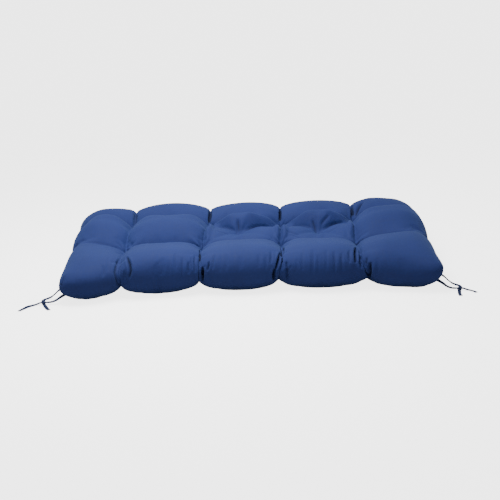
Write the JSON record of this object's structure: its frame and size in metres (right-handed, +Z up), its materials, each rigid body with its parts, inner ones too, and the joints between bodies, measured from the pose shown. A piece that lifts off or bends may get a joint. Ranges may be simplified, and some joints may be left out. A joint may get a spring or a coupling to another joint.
{
  "type": "bench cushion",
  "caption": "Long seat cushion with a plain cover, drawn into deep puffs by through tufts, with a knotted pair of tie tapes at each front corner.",
  "frame": {"origin": "under the middle of the cushion, on the surface it lies on", "axes": "+X along the cushion's length, +Y towards its back edge, +Z up"},
  "size_m": [1.2742, 0.5855, 0.1543],
  "materials": {
    "cover_cloth": "smooth plain-woven polyester, soft sheen",
    "tape_cloth": "folded and stitched tape of the same cloth, matt"
  },
  "bodies": {
    "root": {"cushion": "cover_cloth", "tie_left_front": "tape_cloth", "tie_left_back": "tape_cloth", "knot_left": "tape_cloth", "tie_right_front": "tape_cloth", "tie_right_back": "tape_cloth", "knot_right": "tape_cloth"}
  },
  "joints": []
}
